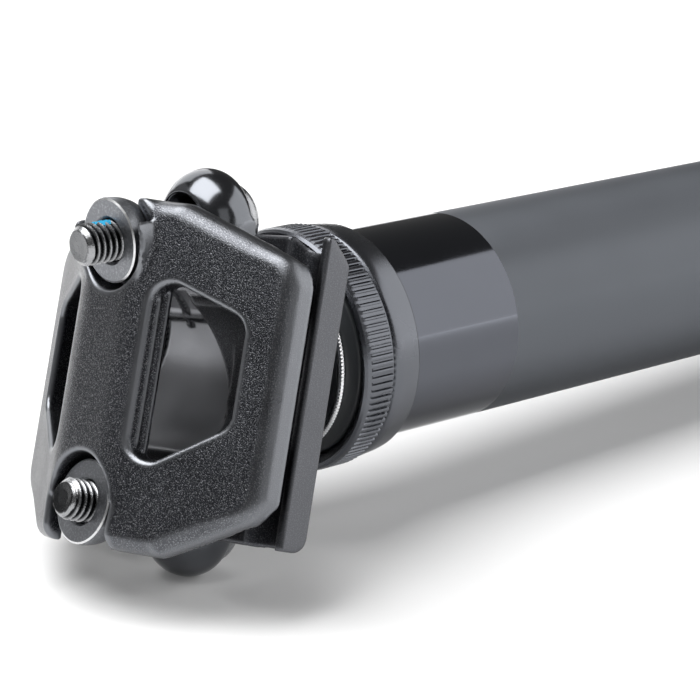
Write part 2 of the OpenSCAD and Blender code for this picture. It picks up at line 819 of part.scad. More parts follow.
module barrel_screw() {
    depth = 3.5;
    color("#55585c") lay_down() translate([cable_x, -barrel_half, pivot_z]) rotate([-90, 0, 0]) difference() {
        cylinder(r = barrel_screw_r - fit / 4, h = depth);
        translate([0, 0, -cut]) cylinder(r = 0.8, h = 1 + cut, $fn = 6);
    }
}

// Its foot is round, so that the lever's face can turn under it
module valve_pin() {
    foot = lever_top + 2 * loose + pin_r;
    color("silver") lay_down() translate([0, 0, foot]) {
        sphere(r = pin_r);
        cylinder(r = pin_r, h = piston_z - valve_room - foot);
    }
}

outer_tube();
seal_collar();
dust_wiper();
wiper_ring();
upper_bushing();
tube_o_ring();
actuator_base();
base_o_ring();
pivot_pin();
cartridge_rod();
rod_nut();
bump_stop();
main_piston();
piston_seal();
stanchion();
post_head();
guide_keys();
lower_bushing();
cartridge_tube();
cartridge_cap();
rod_guide();
rod_seal();
cartridge_ring();
floating_piston();
floating_piston_seal();
lower_cradle();
upper_clamp();
front_nut();
rear_nut();
front_washer();
rear_washer();
front_bolt();
rear_bolt();
lever();
cable_barrel();
barrel_screw();
valve_pin();
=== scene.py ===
import json
import math

import bpy
import numpy as np
from mathutils import Matrix, Vector


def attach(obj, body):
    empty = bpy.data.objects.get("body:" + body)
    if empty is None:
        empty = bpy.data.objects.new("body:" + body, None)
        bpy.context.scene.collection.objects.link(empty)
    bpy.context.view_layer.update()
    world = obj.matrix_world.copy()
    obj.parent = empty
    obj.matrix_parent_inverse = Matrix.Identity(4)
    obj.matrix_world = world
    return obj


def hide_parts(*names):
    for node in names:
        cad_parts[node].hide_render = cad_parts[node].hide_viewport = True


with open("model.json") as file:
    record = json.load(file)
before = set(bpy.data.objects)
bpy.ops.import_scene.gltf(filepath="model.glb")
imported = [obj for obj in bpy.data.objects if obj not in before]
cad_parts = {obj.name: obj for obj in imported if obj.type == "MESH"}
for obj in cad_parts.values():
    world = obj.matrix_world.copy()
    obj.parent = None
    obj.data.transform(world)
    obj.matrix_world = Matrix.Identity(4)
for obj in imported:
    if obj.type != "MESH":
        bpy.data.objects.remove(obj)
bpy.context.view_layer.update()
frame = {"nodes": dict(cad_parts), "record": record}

bl_info = {
    "name": "Dropper seatpost",
    "version": (1, 0, 0),
    "blender": (4, 5, 0),
    "location": "3D View > Sidebar > Seatpost",
    "description": "Builds the looks of a telescoping seatpost around its packed solids",
    "category": "Object",
}

MM = 0.001

# Places, sizes and angles in the post's own axes, in mm: x to the front bolt, y to the left, z up the post
TUBE_R, TUBE_BORE = 15.8, 13.8
STANCHION_R, STANCHION_TOP = 12.5, 19.0
RAIL_HEIGHT = 30.5                     # of the rails' plane on the post's axis, where the clamp's axes start
RAIL_Y, RAIL_GROOVE = 22.0, 3.5        # distance of a rail from the middle, and the radius of its groove
CLAMP_LEAN = math.radians(19)
TILT = (4.0, 40.7)                     # x and z of the axis that the saddle tilts about
TILT_LIMIT = math.radians(7)
SEAT_R = 18.74                         # of the head's round seat, about the tilt axis
BOLT_R, BOLT_HOLE, BOLT_LENGTH = 2.95, 3.6, 26.6
FRONT_TOP, REAR_TOP = 5.2, 3.5         # how far each bolt's end stands over its nut's face
FRONT_HEAD, REAR_HEAD = FRONT_TOP - BOLT_LENGTH, REAR_TOP - BOLT_LENGTH
FRONT_NUT = (20.7, 40.4, 0.0)          # x, z and lean of each nut's face
REAR_NUT = (-14.4, 49.6, math.radians(21))
NUT_R, NUT_FACE = 6.0, 0.8             # radius of a nut's ball, and its face's height over the ball's middle
EAR_RISE = 8.5                         # of an ear's top over the underside of the bolt's head
WASHER_BALL, WASHER_SINK = 9.0, 6.24   # radius of a washer's dome, and how far its middle is below the flat face
BALL_GAP = 0.04                        # between a nut's or a washer's ball and its socket


# ---------------------------------------------------------------- places

def lay_down(points):
    """Post axes in mm to the frame's axes in metres."""
    p = np.asarray(points, float)
    return np.stack([-p[:, 1], -p[:, 2], p[:, 0]], 1) * MM


def lean(points, angle, x0, z0):
    """Turns points about y by an angle and puts them at x0, z0, all in the post's axes."""
    p = np.asarray(points, float)
    c, s = math.cos(angle), math.sin(angle)
    return np.stack([x0 + c * p[:, 0] + s * p[:, 2], p[:, 1], z0 - s * p[:, 0] + c * p[:, 2]], 1)


def unlean(x, z, angle, x0, z0):
    """The inverse of lean for two coordinates: a point's place in the leaning axes."""
    c, s = math.cos(angle), math.sin(angle)
    return c * (x - x0) - s * (z - z0), s * (x - x0) + c * (z - z0)


def on_clamp(points):
    """Points in the clamp's axes, put in the post's."""
    return lean(points, CLAMP_LEAN, 0, RAIL_HEIGHT)


def on_bolt(points, nut):
    """Points in a nut's axes, z up its bolt from the nut's face, put in the post's."""
    return lean(points, nut[2], nut[0], nut[1])


# ---------------------------------------------------------------- meshes

def piece(name, points, faces, finish, body, slot, nodes, sharp=35, wear_and_light=None):
    """Makes one shown piece from points in the post's axes, and ties it to the frame."""
    mesh = bpy.data.meshes.new(name)
    mesh.from_pydata(lay_down(points).tolist(), [], [tuple(f) for f in faces])
    mesh.validate()
    mesh.update()
    mesh.polygons.foreach_set("use_smooth", [True] * len(mesh.polygons))
    mesh.set_sharp_from_angle(angle=math.radians(sharp))
    mesh.materials.append(finish)
    # A share per point that the finishes read: rubbing and painted highlight on edges and crests, and painted shade
    # in thread roots
    if wear_and_light is not None:
        mesh.attributes.new("wear_and_light", "FLOAT", "POINT").data.foreach_set("value", np.asarray(wear_and_light, float))
    made = bpy.data.objects.new(name, mesh)
    bpy.context.scene.collection.objects.link(made)
    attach(made, body)
    if nodes:
        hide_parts(*nodes)
    return made


def ring_of_quads(first, second, turns):
    """The quads between two rings of points, each given by its first point's number."""
    return [(first + j, first + (j + 1) % turns, second + (j + 1) % turns, second + j) for j in range(turns)]


def lathe(profile, turns=160, waist=None, closed=False):
    """A solid turned about z from (radius, height) pairs; waist(angle, height, radius) reshapes the radius."""
    prof = np.asarray(profile, float)
    rows = len(prof)
    angles = np.linspace(0, 2 * math.pi, turns, endpoint=False)
    r = np.repeat(prof[:, 0][:, None], turns, 1)
    z = np.repeat(prof[:, 1][:, None], turns, 1)
    a = np.repeat(angles[None, :], rows, 0)
    if waist is not None:
        r = waist(a, z, r)
    points = np.stack([r * np.cos(a), r * np.sin(a), z], 2).reshape(-1, 3)
    faces = []
    for i in range(rows if closed else rows - 1):
        faces += ring_of_quads(i * turns, (i + 1) % rows * turns, turns)
    return points, faces


def joined(*parts):
    """Several (points, faces) as one."""
    points, faces, start = [], [], 0
    for p, f in parts:
        points.append(np.asarray(p, float))
        faces += [tuple(i + start for i in face) for face in f]
        start += len(p)
    return np.concatenate(points), faces


def arc(cx, cy, r, a0, a1, steps):
    """Points along an arc, from one angle to the other in degrees."""
    return [(cx + r * math.cos(math.radians(a0 + (a1 - a0) * i / steps)),
             cy + r * math.sin(math.radians(a0 + (a1 - a0) * i / steps))) for i in range(steps + 1)]


# ---------------------------------------------------------------- rounded solids from distances

# A solid here is a field: the signed distance to its surface in mm, below 0 inside

def both(a, b, r):
    """Where two solids overlap, with edges rounded to r."""
    return np.minimum(np.maximum(a, b), -r) + np.hypot(np.maximum(a + r, 0), np.maximum(b + r, 0))


def either(a, b, r):
    """Two solids as one, with a fillet of r between them."""
    return np.maximum(np.minimum(a, b), r) - np.hypot(np.maximum(r - a, 0), np.maximum(r - b, 0))


def cut(a, b, r):
    """The first solid without the second, with edges rounded to r."""
    return both(a, -b, r)


def box_distance(x, y, z, low, high):
    """Signed distance to the box between two corners."""
    mid = [(p + q) / 2 for p, q in zip(low, high)]
    half = [(q - p) / 2 for p, q in zip(low, high)]
    d = [abs(v - m) - h for v, m, h in zip((x, y, z), mid, half)]
    outside = np.sqrt(sum(np.maximum(v, 0) ** 2 for v in d))
    return outside + np.minimum(np.maximum(np.maximum(d[0], d[1]), d[2]), 0)


def outline_distance(px, py, corners):
    """Signed distance to the closed outline through the corners."""
    shape = np.broadcast(px, py).shape
    best = np.full(shape, np.inf)
    within = np.zeros(shape, bool)
    for (ax, ay), (bx, by) in zip(corners, corners[1:] + corners[:1]):
        ex, ey = bx - ax, by - ay
        size = ex * ex + ey * ey
        if size < 1e-12:
            continue
        t = np.clip(((px - ax) * ex + (py - ay) * ey) / size, 0, 1)
        best = np.minimum(best, (px - ax - t * ex) ** 2 + (py - ay - t * ey) ** 2)
        if abs(ey) > 1e-9:
            within ^= ((ay > py) != (by > py)) & (px < (py - ay) * ex / ey + ax)
    return np.where(within, -1, 1) * np.sqrt(best)


def skin(field, low, high, step):
    """The surface where field is 0, as a net of quads whose points are then moved onto it."""
    axes = [np.arange(a, b + step, step) for a, b in zip(low, high)]
    x, y, z = axes[0][:, None, None], axes[1][None, :, None], axes[2][None, None, :]
    shape = tuple(len(a) for a in axes)
    f = np.array(np.broadcast_to(field(x, y, z), shape))
    inside = f < 0
    if any(np.take(inside, end, axis).any() for axis in range(3) for end in (0, -1)):
        raise ValueError("a rounded solid reaches the border of its grid")
    cells = tuple(n - 1 for n in shape)
    total = np.zeros(cells + (3,))
    count = np.zeros(cells)
    crossings = []
    for axis in range(3):
        lo = [slice(None)] * 3
        hi = [slice(None)] * 3
        lo[axis], hi[axis] = slice(0, -1), slice(1, None)
        f0, f1 = f[tuple(lo)], f[tuple(hi)]
        mixed = inside[tuple(lo)] != inside[tuple(hi)]
        t = np.where(mixed, f0 / np.where(mixed, f0 - f1, 1), 0)
        crossings.append((mixed, inside[tuple(lo)]))
        others = [a for a in range(3) if a != axis]
        for du in (0, 1):
            for dv in (0, 1):
                pick = [slice(None)] * 3
                pick[others[0]] = slice(du, du + cells[others[0]])
                pick[others[1]] = slice(dv, dv + cells[others[1]])
                m = mixed[tuple(pick)]
                count += m
                total[..., axis] += np.where(m, t[tuple(pick)], 0)
                total[..., others[0]] += m * du
                total[..., others[1]] += m * dv
    active = count > 0
    where = np.argwhere(active)
    local = total[active] / count[active][:, None]
    points = np.array(low) + (where + local) * step
    index = np.full(cells, -1)
    index[active] = np.arange(len(where))
    faces = []
    for axis in range(3):
        mixed, first_in = crossings[axis]
        u, v = [(1, 2), (2, 0), (0, 1)][axis]
        at = np.argwhere(mixed)
        keep = (at[:, u] > 0) & (at[:, v] > 0) & (at[:, u] < shape[u] - 1) & (at[:, v] < shape[v] - 1)
        at = at[keep]
        ring = []
        for du, dv in ((-1, -1), (0, -1), (0, 0), (-1, 0)):
            c = at.copy()
            c[:, u] += du
            c[:, v] += dv
            ring.append(index[c[:, 0], c[:, 1], c[:, 2]])
        quad = np.stack(ring, 1)
        out = first_in[at[:, 0], at[:, 1], at[:, 2]]
        quad[~out] = quad[~out][:, ::-1]
        faces.append(quad)
    nudge, least_slope, longest_move = step * 0.1, 0.2, step * 0.5
    for _ in range(3):
        p = points
        g = np.stack([(field(*(p + nudge * axis).T) - field(*(p - nudge * axis).T)) / (2 * nudge)
                      for axis in np.eye(3)], 1)
        size = np.maximum((g ** 2).sum(1), least_slope)
        move = -(field(*p.T) / size)[:, None] * g
        length = np.maximum(np.linalg.norm(move, axis=1), 1e-9)
        points = p + move * np.minimum(1, longest_move / length)[:, None]
    return points, np.concatenate(faces).tolist()


def edge_roundness(field, points):
    """How strongly a solid is rounded outwards at each point: 0 on flat faces, 1 on its tight edges."""
    reach, least_bend, bend_range = 0.7, 0.14, 0.7
    bend = -6 * field(*points.T)
    for offset in np.eye(3) * reach:
        bend = bend + field(*(points + offset).T) + field(*(points - offset).T)
    return np.clip((bend / reach ** 2 - least_bend) / bend_range, 0, 1)


# ---------------------------------------------------------------- nodes and colours

# The Mix node's colour sockets go by number, because its other types share their names
SHARE, FIRST, SECOND, MIXED = 0, 6, 7, 2


def linear(code):
    """An sRGB hex colour as linear RGBA."""
    parts = [int(code[i:i + 2], 16) / 255 for i in (1, 3, 5)]
    return [c / 12.92 if c <= 0.04045 else ((c + 0.055) / 1.055) ** 2.4 for c in parts] + [1.0]


def per_mm(size):
    """A texture's scale for a pattern whose cells are this many millimetres across."""
    return 1000.0 / size


def add(tree, kind, settings=None, links=None):
    """Adds a node with its settings and the sockets that feed it."""
    node = tree.nodes.new(kind)
    for key, value in (settings or {}).items():
        if isinstance(key, str) and hasattr(node, key):
            setattr(node, key, value)
        else:
            node.inputs[key].default_value = value
    for key, source in (links or {}).items():
        tree.links.new(source, node.inputs[key])
    return node


def new_finish(name):
    """An empty material: itself, its tree, its shader, and the socket for a point's place."""
    made = bpy.data.materials.new(name)
    made.use_nodes = True
    tree = made.node_tree
    tree.nodes.clear()
    shader = add(tree, "ShaderNodeBsdfPrincipled")
    add(tree, "ShaderNodeOutputMaterial", links={"Surface": shader.outputs["BSDF"]})
    place = add(tree, "ShaderNodeTexCoord").outputs["Object"]
    return made, tree, shader, place


def surface(name, hue, rough, metallic=1.0, grain=0.3, depth=0.004, vary=0.12, patch=6.0, ior=None, glints_and_specks=0.0,
            glints_and_specks_hue="#8a8c90", uneven=0.12):
    """A machined, blasted or moulded finish. Its grain has a width and a depth in mm, and its brightest grains are
    painted pale by speck, as painted glints and specks. Over patches of some mm, its tone changes by vary and its
    roughness by uneven, as shares."""
    made, tree, shader, place = new_finish(name)
    broad = add(tree, "ShaderNodeTexNoise", {"Scale": per_mm(patch), "Detail": 3.0}, {"Vector": place})
    fine = add(tree, "ShaderNodeTexNoise", {"Scale": per_mm(grain), "Detail": 2.0}, {"Vector": place})
    dark = [c * (1 - vary) for c in hue[:3]] + [1]
    light = [min(1, c * (1 + vary)) for c in hue[:3]] + [1]
    tone = add(tree, "ShaderNodeMix", {"data_type": "RGBA", FIRST: dark, SECOND: light},
               {SHARE: broad.outputs["Fac"]}).outputs[MIXED]
    if glints_and_specks:
        # Painted glints: the brightest grains are lightened, standing for grains that catch the light
        lit = add(tree, "ShaderNodeMapRange", {"From Min": 0.5, "From Max": 0.72, "To Min": 0.0, "To Max": glints_and_specks},
                  {"Value": fine.outputs["Fac"]})
        tone = add(tree, "ShaderNodeMix", {"data_type": "RGBA", SECOND: linear(glints_and_specks_hue)},
                   {SHARE: lit.outputs["Result"], FIRST: tone}).outputs[MIXED]
    tree.links.new(tone, shader.inputs["Base Color"])
    smoothest, roughest = max(0.02, rough * (1 - uneven)), rough * (1 + uneven)
    gloss = add(tree, "ShaderNodeMapRange", {"From Min": 0.3, "From Max": 0.7, "To Min": smoothest,
                                             "To Max": roughest}, {"Value": broad.outputs["Fac"]})
    tree.links.new(gloss.outputs["Result"], shader.inputs["Roughness"])
    bump = add(tree, "ShaderNodeBump", {"Distance": depth * MM, "Strength": 1.0}, {"Height": fine.outputs["Fac"]})
    tree.links.new(bump.outputs["Normal"], shader.inputs["Normal"])
    shader.inputs["Metallic"].default_value = metallic
    if ior:
        shader.inputs["IOR"].default_value = ior
    return made


def rubbed_and_lit_edges(made, hue, smoothing):
    """Lightens a finish on the solid's rounded edges, from rubbing and as painted highlight, and takes part of its
    grain away there.
    """
    tree = made.node_tree
    shader = tree.nodes["Principled BSDF"]
    bump = shader.inputs["Normal"].links[0].from_node
    wear_and_light = add(tree, "ShaderNodeAttribute", {"attribute_name": "wear_and_light"}).outputs["Fac"]
    tone = add(tree, "ShaderNodeMix", {"data_type": "RGBA", SECOND: hue},
               {SHARE: wear_and_light, FIRST: shader.inputs["Base Color"].links[0].from_socket}).outputs[MIXED]
    tree.links.new(tone, shader.inputs["Base Color"])
    left = add(tree, "ShaderNodeMapRange", {"From Min": 0.0, "From Max": 0.5, "To Min": 1.0,
                                            "To Max": 1.0 - smoothing}, {"Value": wear_and_light})
    tree.links.new(left.outputs["Result"], bump.inputs["Strength"])
    return made


def shaded_and_worn_thread(name, threadlock):
    """Black-oxide steel, painted dark in the thread's roots as shade, and bright on its crests from rubbing and as
    painted highlight.
    """
    colours = bpy.context.scene.seatpost_colours
    made = surface(name, colours.bolt_crest_rubbed_and_lit, rough=0.27, grain=0.25, depth=0.03, vary=0.25, patch=0.9)
    tree = made.node_tree
    shader = tree.nodes["Principled BSDF"]
    bright = shader.inputs["Base Color"].links[0].from_socket
    wear_and_light = add(tree, "ShaderNodeAttribute", {"attribute_name": "wear_and_light"}).outputs["Fac"]
    lit_and_rubbed_crest = add(tree, "ShaderNodeMapRange", {"From Min": 0.35, "From Max": 0.95}, {"Value": wear_and_light}).outputs["Result"]
    # The near black of the roots is painted shade; the crests' light colour is rubbing and painted highlight
    tone = add(tree, "ShaderNodeMix", {"data_type": "RGBA", FIRST: linear("#1c1d1f")},
               {SHARE: lit_and_rubbed_crest, SECOND: bright}).outputs[MIXED]
    if threadlock:
        # Dried threadlock: a patch of blue crumbs on the upper side of the thread, where it leaves the nut
        middle, crumb, fill = lay_down([(23.4, 0.6, 41.4)])[0], 0.5, 0.58
        place = add(tree, "ShaderNodeTexCoord").outputs["Object"]
        away = add(tree, "ShaderNodeVectorMath", {"operation": "DISTANCE", 1: middle}, {0: place}).outputs["Value"]
        near = add(tree, "ShaderNodeMapRange", {"From Min": 2.6 * MM, "From Max": 0.9 * MM, "To Min": -0.25,
                                                "To Max": 0.3}, {"Value": away}).outputs["Result"]
        crumbs = add(tree, "ShaderNodeTexNoise", {"Scale": per_mm(crumb), "Detail": 2.0}, {"Vector": place})
        density = add(tree, "ShaderNodeMath", {"operation": "ADD"}, {0: near, 1: crumbs.outputs["Fac"]})
        blue = add(tree, "ShaderNodeMath", {"operation": "GREATER_THAN", 1: fill}, {0: density.outputs["Value"]})
        tone = add(tree, "ShaderNodeMix", {"data_type": "RGBA", SECOND: colours.threadlock},
                   {SHARE: blue.outputs["Value"], FIRST: tone}).outputs[MIXED]
        metal = add(tree, "ShaderNodeMath", {"operation": "SUBTRACT", 0: 1.0}, {1: blue.outputs["Value"]})
        tree.links.new(metal.outputs["Value"], shader.inputs["Metallic"])
    tree.links.new(tone, shader.inputs["Base Color"])
    return made


def turned_around(made, amount):
    """Lets a finish spread its highlights along the post, as fine rings cut or brushed around it do."""
    tree = made.node_tree
    shader = tree.nodes["Principled BSDF"]
    shader.inputs["Anisotropic"].default_value = amount
    shader.inputs["Anisotropic Rotation"].default_value = 0.25
    around = add(tree, "ShaderNodeTangent", {"direction_type": "RADIAL", "axis": "Y"})
    tree.links.new(around.outputs["Tangent"], shader.inputs["Tangent"])
    return made


FINISHES = {}


def make_finishes(colours):
    """Makes every finish, each from what the real surface is and a colour that a user may choose."""
    f = FINISHES
    # Anodised aluminium, forged and bead-blasted: a grainy black skin with painted glints in points, its rounded
    # edges lighter from rubbing and as painted highlight
    f["blasted_clamp"] = rubbed_and_lit_edges(surface("bead_blasted_black_anodise", colours.clamp, rough=0.31, grain=0.18,
                                              depth=0.08, vary=0.12, glints_and_specks=0.4, glints_and_specks_hue="#c4c6ca"),
                                      colours.clamp_edge_rubbed_and_lit, 0.6)
    # Anodised aluminium, blasted black, then bored in the trough and ground on its sides to an even satin grey; its
    # rounded edges take a little of that grey as painted highlight and rubbing
    f["machined_cradle"] = rubbed_and_lit_edges(surface("blasted_and_ground_black_anodise", colours.cradle, rough=0.36,
                                                grain=0.18, depth=0.05, vary=0.05, glints_and_specks=0.3, glints_and_specks_hue="#8e9094"),
                                        colours.cradle_ground_and_edge_light, 0.85)
    # Anodised aluminium, polished and dyed black: mirrors the studio with sharp edges
    f["gloss_head"] = surface("polished_black_anodise", colours.head, rough=0.16, grain=2.5, depth=0.004, vary=0.03)
    # Anodised aluminium, brushed around: its highlights spread into soft streaks along the tube
    f["anodised_tube"] = turned_around(surface("satin_black_anodised_tube", colours.tube, rough=0.42, grain=0.6,
                                               depth=0.002, vary=0.02, patch=14.0, uneven=0.03), 0.86)
    # The same tube, polished: it mirrors the softboxes in sharp-edged bands
    f["tube_band"] = surface("gloss_black_anodised_band", colours.band, rough=0.1, grain=0.8, depth=0.001, vary=0.03)
    # Anodised aluminium, turned and knurled: glossy, with the tool's fine rings
    f["anodised_collar"] = surface("turned_black_anodise", colours.collar, rough=0.26, grain=0.5, depth=0.003,
                                   vary=0.06)
    # Hard anodised aluminium, ground and polished: a dark glossy oxide that is no longer metallic
    f["anodised_stanchion"] = surface("polished_hard_anodise", colours.stanchion, rough=0.08, metallic=0.0,
                                      grain=1.5, depth=0.001, ior=1.77)
    # Aluminium as machined: pale, with faint tool marks
    f["bare_aluminium"] = surface("machined_aluminium", linear("#c9cbce"), rough=0.3, grain=0.5, depth=0.003)
    # Steel, black oxide, rolled thread: painted shade in its roots, and bright on its crests from rubbing and as
    # painted highlight
    f["front_thread"] = shaded_and_worn_thread("black_oxide_thread_with_threadlock", True)
    f["rear_thread"] = shaded_and_worn_thread("black_oxide_thread", False)
    # Steel, blackened and tumbled: matt grey with small bright nicks
    f["nut_steel"] = surface("tumbled_black_steel", colours.nuts, rough=0.4, grain=0.3, depth=0.02, vary=0.1,
                             patch=1.6, glints_and_specks=0.25, glints_and_specks_hue="#c8c9cb")
    # Steel, where the black has rubbed off, and a painted highlight: a bright thread of light around each nut
    f["worn_edge"] = surface("bare_steel_edge_and_painted_highlight", linear("#d4d5d6"), rough=0.3, grain=0.4, depth=0.01,
                             vary=0.2, patch=1.0)
    # Steel, black oxide, oiled: uneven dark grey with a soft shine
    f["bolt_steel"] = surface("oiled_black_oxide_steel", colours.bolts, rough=0.28, grain=0.3, depth=0.03, vary=0.3,
                              patch=0.8, glints_and_specks=0.3, glints_and_specks_hue="#d8d8d6")
    # Spring steel, drawn: a bright smooth wire
    f["spring_steel"] = surface("bright_drawn_wire", linear("#e6e6e8"), rough=0.12, grain=0.3, depth=0.001)
    # Steel, ground: bright with a fine grain
    f["bright_steel"] = surface("ground_steel", linear("#b9bcc0"), rough=0.2, grain=0.4, depth=0.002)
    # Brass, machined: yellow with a soft shine
    f["brass"] = surface("machined_brass", linear("#b58f45"), rough=0.28, grain=0.5, depth=0.002)
    # Acetal filled with PTFE, machined: a dull ochre
    f["bushing"] = surface("filled_acetal", linear("#b3933f"), rough=0.5, metallic=0.0, grain=0.8, depth=0.003)
    # Nitrile rubber, moulded: near black and dull
    f["nitrile"] = surface("moulded_black_nitrile", colours.rubber, rough=0.45, metallic=0.0, grain=0.6,
                           depth=0.004, ior=1.52)


# ---------------------------------------------------------------- what a user may change

def colour(name, description, code):
    """A property for a colour, from its sRGB hex code."""
    return bpy.props.FloatVectorProperty(name=name, description=description, subtype="COLOR", size=4, min=0, max=1,
                                         default=linear(code))


class SEATPOST_PG_colours(bpy.types.PropertyGroup):
    clamp: colour("Top plate", "Colour of the bead-blasted top plate", "#38393d")
    # Lighter colour of the plate's rounded edges: rubbing and painted highlight
    clamp_edge_rubbed_and_lit: colour("Top plate's edges", "Colour of the top plate where its edges are rubbed", "#77797d")
    cradle: colour("Cradle", "Colour of the lower cradle as blasted", "#303135")
    # Also lightens the cradle's rounded edges a little, as painted highlight
    cradle_ground_and_edge_light: colour("Cradle, ground", "Colour of the cradle's bored trough and ground sides", "#848589")
    head: colour("Head", "Colour of the polished head", "#66686c")
    tube: colour("Outer tube", "Colour of the satin outer tube", "#62656a")
    band: colour("Gloss band", "Colour of the tube's polished band", "#595b61")
    collar: colour("Collar", "Colour of the knurled collar", "#63656a")
    stanchion: colour("Stanchion", "Colour of the polished inner tube", "#1b1c1e")
    nuts: colour("Nuts", "Colour of the two round nuts", "#76787c")
    bolts: colour("Bolts", "Colour of the bolts' heads and washers", "#85868a")
    # Colour of the threads' crests, from rubbing and as painted highlight
    bolt_crest_rubbed_and_lit: colour("Thread crests", "Colour of the rubbed crests of the bolts' threads", "#9b9c9e")
    threadlock: colour("Threadlock", "Colour of the dried threadlock on the front bolt", "#2aa4cf")
    rubber: colour("Rubber", "Colour of the wiper and the O-rings", "#292c2f")
    floor: colour("Floor", "Colour of the paper floor", "#e3e3e3")


def length(name, description, default):
    """A property for a length in metres."""
    return bpy.props.FloatProperty(name=name, description=description, unit="LENGTH", min=0, precision=5,
                                   default=default)


class SEATPOST_PG_sizes(bpy.types.PropertyGroup):
    knurl_ribs: bpy.props.IntProperty(name="Knurl ribs", description="Number of ribs round the collar", min=24,
                                      default=108)
    gloss_band: length("Gloss band", "Length of the tube's polished band", 21.3 * MM)
    thread_depth: length("Thread depth", "Depth of the bolts' threads", 0.58 * MM)
    # Height of the bright skin round each nut: rubbed bare steel and painted highlight
    worn_edge: length("Worn edge", "Height of the bare steel skin over a nut's edge", 0.015 * MM)
    surface_step: length("Surface step", "Cell size of the rounded pieces' meshes", 0.36 * MM)
    floor_drop: length("Floor drop", "Distance of the floor from the frame's origin", 27 * MM)
    floor_size: length("Floor size", "Half the width of the floor", 12.0)


# ---------------------------------------------------------------- the pieces

def step(context):
    return context.scene.seatpost_sizes.surface_step / MM * 1


class SEATPOST_OT_outer_tube(bpy.types.Operator):
    """Black tube that slides into the frame, with a gloss band under the collar"""
    bl_idname = "seatpost.outer_tube"
    bl_label = "Outer tube"

    def execute(self, context):
        r, bore, end, chamfer = TUBE_R, TUBE_BORE, -262.0, 0.5
        neck, neck_foot, neck_top = 14.7, 14.8, 5
        band = -context.scene.seatpost_sizes.gloss_band / MM
        glossy = [(bore, neck_top), (neck, neck_top), (neck_foot, 0), (r, 0), (r, band), (bore, band)]
        satin = [(r, band), (r, end + chamfer), (r - chamfer, end), (bore, end), (bore, band)]
        piece("outer_tube_gloss_band", *lathe(glossy, 256, closed=True), FINISHES["tube_band"], "lower_post",
              "anodised_tube", ["outer_tube"])
        piece("outer_tube_satin", *lathe(satin, 256, closed=True), FINISHES["anodised_tube"], "lower_post",
              "anodised_tube", [])
        return {"FINISHED"}


class SEATPOST_OT_collar(bpy.types.Operator):
    """Knurled collar, its rubber wiper and the bright ring that keeps the wiper closed"""
    bl_idname = "seatpost.collar"
    bl_label = "Seal collar and wiper"

    def execute(self, context):
        ribs = context.scene.seatpost_sizes.knurl_ribs
        root, crest = 17.8, 18.15
        start, full, fading, plain, end = 5.9, 6.02, 9.7, 10.25, 10.75
        profile = [(14.85, 5.1), (14.85, 0.0), (17.05, 0.0), (17.3, 0.35), (17.45, 1.2), (17.7, 3.6), (17.72, 4.7),
                   (17.6, 5.0), (17.3, 5.25), (17.3, 5.55), (17.55, start - 0.1), (crest, full), (crest, 6.5),
                   (crest, 8.5), (crest, fading), (crest, plain), (17.95, end), (17.55, 11.1), (17.25, 11.1),
                   (16.1, 10.1), (16.1, 6.0), (13.0, 6.0), (13.0, 5.1)]

        def knurl(a, z, r):
            """Sinks the collar between its ribs, which run out at both ends of the band."""
            phase = (a * ribs / (2 * math.pi)) % 1.0
            ridge = np.interp(phase, [0, 0.26, 0.4, 0.86, 1.0], [0, 0, 1, 1, 0])
            fade = np.interp(z, [start - 0.1, full, fading, plain], [0, 1, 1, 0])
            on = (r > 17.5) & (z > start - 0.2) & (z < plain)
            return np.where(on, r - (1 - ridge) * (crest - root) * fade, r)

        piece("seal_collar_knurled", *lathe(profile, ribs * 8, knurl, closed=True), FINISHES["anodised_collar"],
              "lower_post", "anodised_collar", ["seal_collar"], sharp=25)

        lip, foot, top = 12.54, 6.0, 13.0
        ring_r, ring_z, wire_r = 14.14, 12.4, 0.55
        rubber = [(lip, top), (lip, top - 0.6), (12.9, top - 1.8), (12.9, foot + 1.2), (lip, foot + 0.6),
                  (lip, foot), (16.05, foot), (16.05, foot + 2.6), (15.7, foot + 3.0), (15.7, 9.9)]
        rubber += arc(15.1, 9.9, 0.6, 0, 80, 5)
        rubber += [(14.2, 11.0), (13.7, 11.6), (13.5, ring_z), (13.6, ring_z + 0.6), (13.3, top)]
        piece("dust_wiper_lip", *lathe(rubber, 160, closed=True), FINISHES["nitrile"], "lower_post", "nitrile",
              ["dust_wiper"])

        coil_count, coil_depth = 170, 0.035

        def coils(a, z, r):
            """Winds a shallow ripple along the ring, so that it catches the light as a wound wire does."""
            return r + coil_depth * np.sin(coil_count * a + np.arctan2(z - ring_z, r - ring_r))

        section = arc(ring_r, ring_z, wire_r, 0, 337.5, 15)
        piece("wiper_ring_coiled", *lathe(section, coil_count * 6, coils, closed=True), FINISHES["spring_steel"],
              "lower_post", "spring_steel", ["wiper_ring"])
        return {"FINISHED"}


class SEATPOST_OT_stanchion(bpy.types.Operator):
    """Polished inner tube that slides out of the collar"""
    bl_idname = "seatpost.stanchion"
    bl_label = "Stanchion"

    def execute(self, context):
        r, bore, foot, top, chamfer = STANCHION_R, 11.0, -230, STANCHION_TOP, 0.3
        profile = [(bore, foot), (r - chamfer, foot), (r, foot + chamfer), (r, -100), (r, top - chamfer),
                   (r - chamfer, top), (bore, top)]
        piece("stanchion_polished", *lathe(profile, 192, closed=True), FINISHES["anodised_stanchion"], "upper_post",
              "anodised_stanchion", ["stanchion"])
        return {"FINISHED"}


